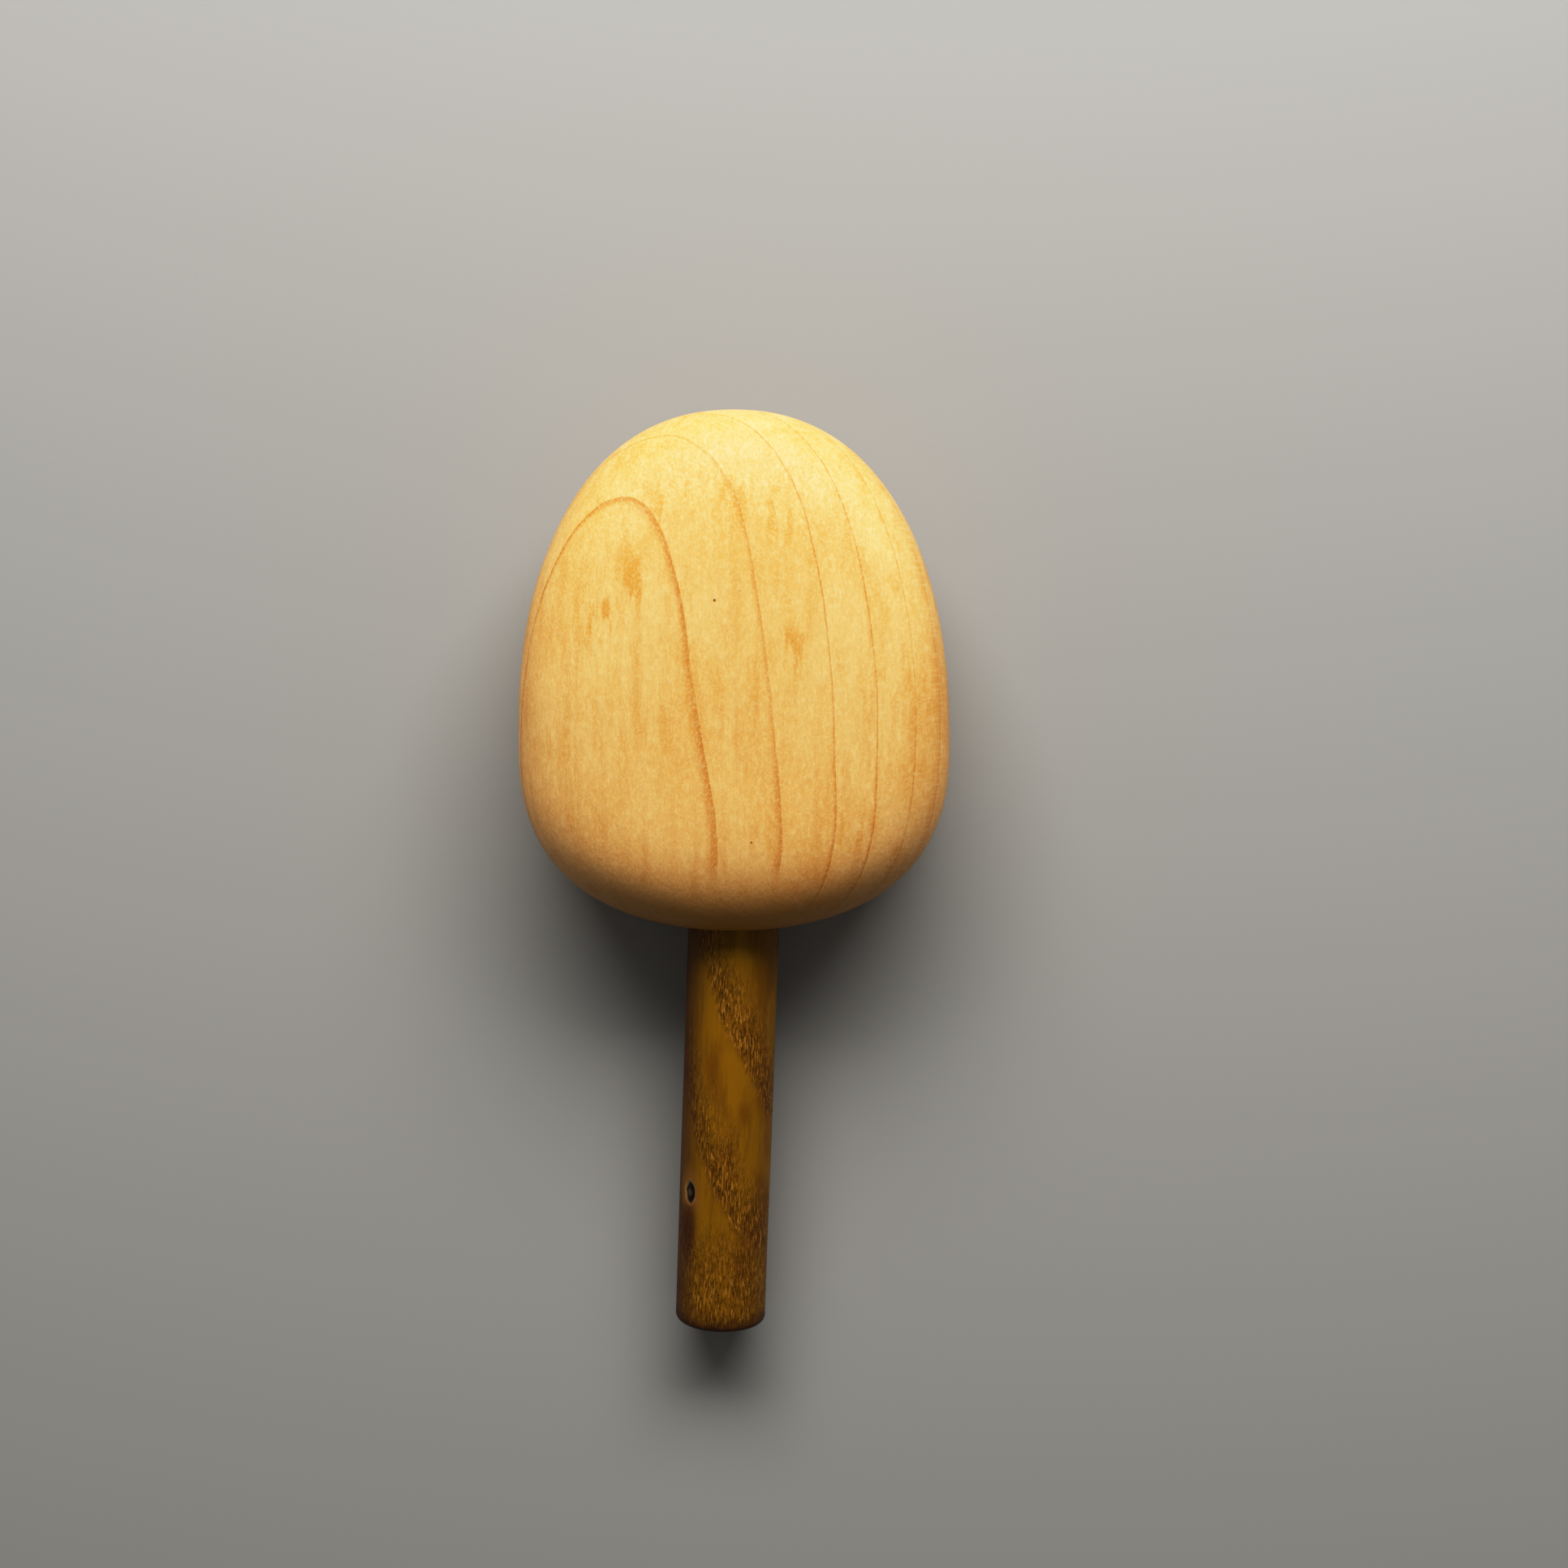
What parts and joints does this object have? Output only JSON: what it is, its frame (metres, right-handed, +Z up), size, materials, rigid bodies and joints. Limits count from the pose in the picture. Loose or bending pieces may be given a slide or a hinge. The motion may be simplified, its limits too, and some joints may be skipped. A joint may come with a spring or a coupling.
{
  "type": "baby rattle",
  "caption": "Wooden baby rattle: a flattened egg-shaped head of pale wood on a straight dark dowel handle, with loose wooden balls sealed inside that roll when it is shaken.",
  "frame": {"origin": "under the middle of the bounding box, on the surface that the rattle lies on", "axes": "+Y towards the top of the head, the handle towards -Y, +X to the right seen from the front face, +Z up out of the front face, as the rattle lies on its back"},
  "size_m": [0.0621, 0.1336, 0.0306],
  "materials": {
    "pale_wood": "satin",
    "dark_wood": "satin",
    "inner_wood": "matte"
  },
  "bodies": {
    "rattle": {"front_shell": "pale_wood", "rear_shell": "pale_wood", "handle": "dark_wood", "locating_dowel_left": "inner_wood", "locating_dowel_right": "inner_wood"},
    "ball_1": {"rattle_ball_1": "inner_wood"},
    "ball_2": {"rattle_ball_2": "inner_wood"},
    "ball_3": {"rattle_ball_3": "inner_wood"},
    "ball_4": {"rattle_ball_4": "inner_wood"},
    "ball_5": {"rattle_ball_5": "inner_wood"}
  },
  "joints": [
    {"name": "ball_1_roll", "type": "slide", "parent": "rattle", "child": "ball_1", "axis": [0, 0.9959, 0.0901], "range_m": [0, 0.0289]},
    {"name": "ball_2_roll", "type": "slide", "parent": "rattle", "child": "ball_2", "axis": [0, 0.9959, 0.0901], "range_m": [0, 0.0289]},
    {"name": "ball_3_roll", "type": "slide", "parent": "rattle", "child": "ball_3", "axis": [0, 0.9959, 0.0901], "range_m": [0, 0.0289]},
    {"name": "ball_4_roll", "type": "slide", "parent": "rattle", "child": "ball_4", "axis": [0, 0.9959, 0.0901], "range_m": [0, 0.0289]},
    {"name": "ball_5_roll", "type": "slide", "parent": "rattle", "child": "ball_5", "axis": [0, 0.9959, 0.0901], "range_m": [0, 0.0289]}
  ]
}
